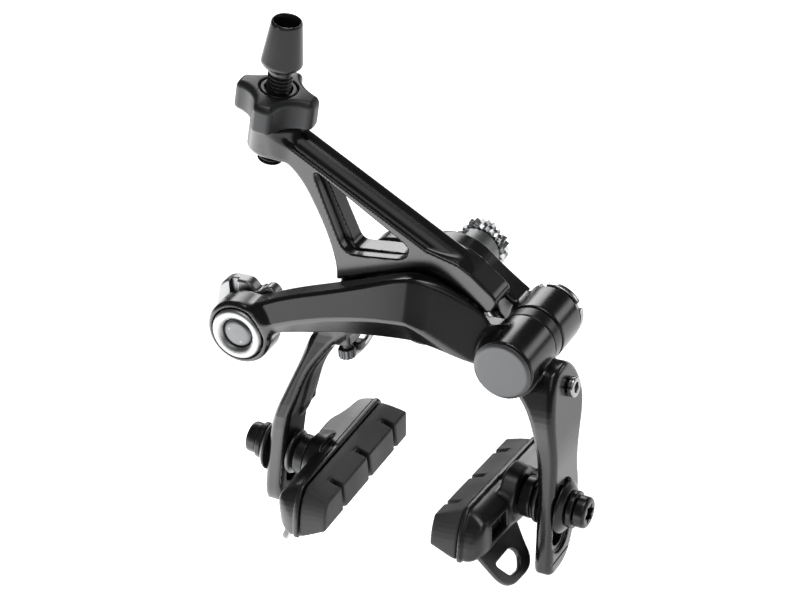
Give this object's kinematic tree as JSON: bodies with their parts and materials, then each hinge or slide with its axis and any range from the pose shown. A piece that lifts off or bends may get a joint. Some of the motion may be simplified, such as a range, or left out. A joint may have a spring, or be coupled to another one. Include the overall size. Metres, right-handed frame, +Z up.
{
  "type": "bicycle rim brake caliper",
  "caption": "Dual-pivot side-pull rim brake caliper with slotted legs, cartridge pads, tyre guides and a barrel cable adjuster.",
  "frame": {"origin": "on the centre bolt's axis, at the rear face of the toothed washer, where the caliper meets the bicycle frame", "axes": "+X to the right seen from the front, +Y back towards the bicycle frame, +Z up"},
  "size_m": [0.0985, 0.0639, 0.1323],
  "materials": {
    "gloss_black": "gloss",
    "satin_grey": "satin",
    "gunmetal": "satin",
    "bright_steel": "polished",
    "dark_steel": "satin",
    "spring_steel": "satin",
    "bronze": "satin",
    "black_plastic": "matte",
    "holder_black": "satin",
    "rubber": "matte"
  },
  "bodies": {
    "bridge_set": {"bridge": "gloss_black", "centre_spindle": "dark_steel", "toothed_washer": "bright_steel", "spindle_collar": "satin_grey", "side_pivot_bolt": "dark_steel", "thrust_ring": "satin_grey", "pivot_nut": "bright_steel", "return_spring": "spring_steel"},
    "upper_lever": {"upper_arm": "gloss_black", "centre_bush": "bronze", "link_pin": "bright_steel", "spring_shoe": "black_plastic"},
    "front_lever": {"front_arm": "gloss_black", "pivot_cap": "satin_grey", "side_bush": "bronze", "anchor_ring": "bright_steel", "clamp_plate": "bright_steel", "clamp_washer": "bright_steel"},
    "anchor": {"anchor_bolt": "bright_steel"},
    "adjuster_nut": {"adjuster_wheel": "gunmetal", "adjuster_insert": "dark_steel"},
    "adjuster_stem": {"adjuster_barrel": "gunmetal"},
    "centring": {"centring_screw": "bright_steel"},
    "tension": {"spring_screw": "bright_steel"},
    "roller": {"link_roller": "bright_steel"},
    "left_carriage": {"left_pad_bolt": "dark_steel", "left_outer_washer": "dark_steel", "left_thin_washer": "dark_steel", "left_dished_washer": "dark_steel", "left_domed_washer": "dark_steel"},
    "left_shoe": {"left_pad_holder": "holder_black", "left_pad_rubber": "rubber", "left_tyre_guide": "holder_black"},
    "right_carriage": {"right_pad_bolt": "dark_steel", "right_outer_washer": "dark_steel", "right_thin_washer": "dark_steel", "right_dished_washer": "dark_steel", "right_domed_washer": "dark_steel"},
    "right_shoe": {"right_pad_holder": "holder_black", "right_pad_rubber": "rubber", "right_tyre_guide": "holder_black"}
  },
  "joints": [
    {"name": "upper_arm_pivot", "type": "hinge", "parent": "bridge_set", "child": "upper_lever", "pos_m": [0, -0.03, 0], "axis": [0, 1, 0], "range_deg": [-9, 0], "stiffness_Nm_per_rad": 2.5, "deforming": ["return_spring"]},
    {"name": "front_arm_pivot", "type": "hinge", "parent": "bridge_set", "child": "front_lever", "pos_m": [0.025, -0.037, -0.006], "axis": [0, 1, 0], "range_deg": [0, 10.6]},
    {"name": "adjuster_turn", "type": "hinge", "parent": "upper_lever", "child": "adjuster_nut", "pos_m": [-0.03517, -0.0322, 0.048], "axis": [0.2198, 0, 0.9755], "range_deg": [-1080, 1080]},
    {"name": "adjuster_lift", "type": "slide", "parent": "upper_lever", "child": "adjuster_stem", "axis": [0.2198, 0, 0.9755], "range_m": [-0.003, 0.003]},
    {"name": "anchor_turn", "type": "hinge", "parent": "front_lever", "child": "anchor", "pos_m": [-0.0454, -0.036, -0.01], "axis": [0, 1, 0], "range_deg": [-360, 360]},
    {"name": "centring_turn", "type": "hinge", "parent": "front_lever", "child": "centring", "pos_m": [0.036, -0.0332, -0.0142], "axis": [1, 0, 0], "range_deg": [-720, 720]},
    {"name": "tension_turn", "type": "hinge", "parent": "upper_lever", "child": "tension", "pos_m": [-0.0216, -0.034, -0.014], "axis": [0, 0, 1], "range_deg": [-720, 720]},
    {"name": "roller_spin", "type": "hinge", "parent": "upper_lever", "child": "roller", "pos_m": [0.0132, -0.0322, 0.0084], "axis": [0, 1, 0], "continuous": true},
    {"name": "left_pad_height", "type": "slide", "parent": "upper_lever", "child": "left_carriage", "axis": [0.153, 0, 0.9882], "range_m": [-0.0055, 0.0014]},
    {"name": "left_pad_tilt", "type": "hinge", "parent": "left_carriage", "child": "left_shoe", "pos_m": [-0.0385, -0.0392, -0.0437], "axis": [0.9882, 0, -0.153], "range_deg": [-8, 8]},
    {"name": "right_pad_height", "type": "slide", "parent": "front_lever", "child": "right_carriage", "axis": [0.0958, 0, 0.9954], "range_m": [-0.008, 0.0024]},
    {"name": "right_pad_tilt", "type": "hinge", "parent": "right_carriage", "child": "right_shoe", "pos_m": [0.0335, -0.0392, -0.0437], "axis": [0.9954, 0, -0.0958], "range_deg": [-8, 8]}
  ],
  "couplings": [
    {"joint": "front_arm_pivot", "follows": "upper_arm_pivot", "ratio": -1.17},
    {"joint": "adjuster_turn", "follows": "adjuster_lift", "rad_per_m": 6283.2}
  ]
}
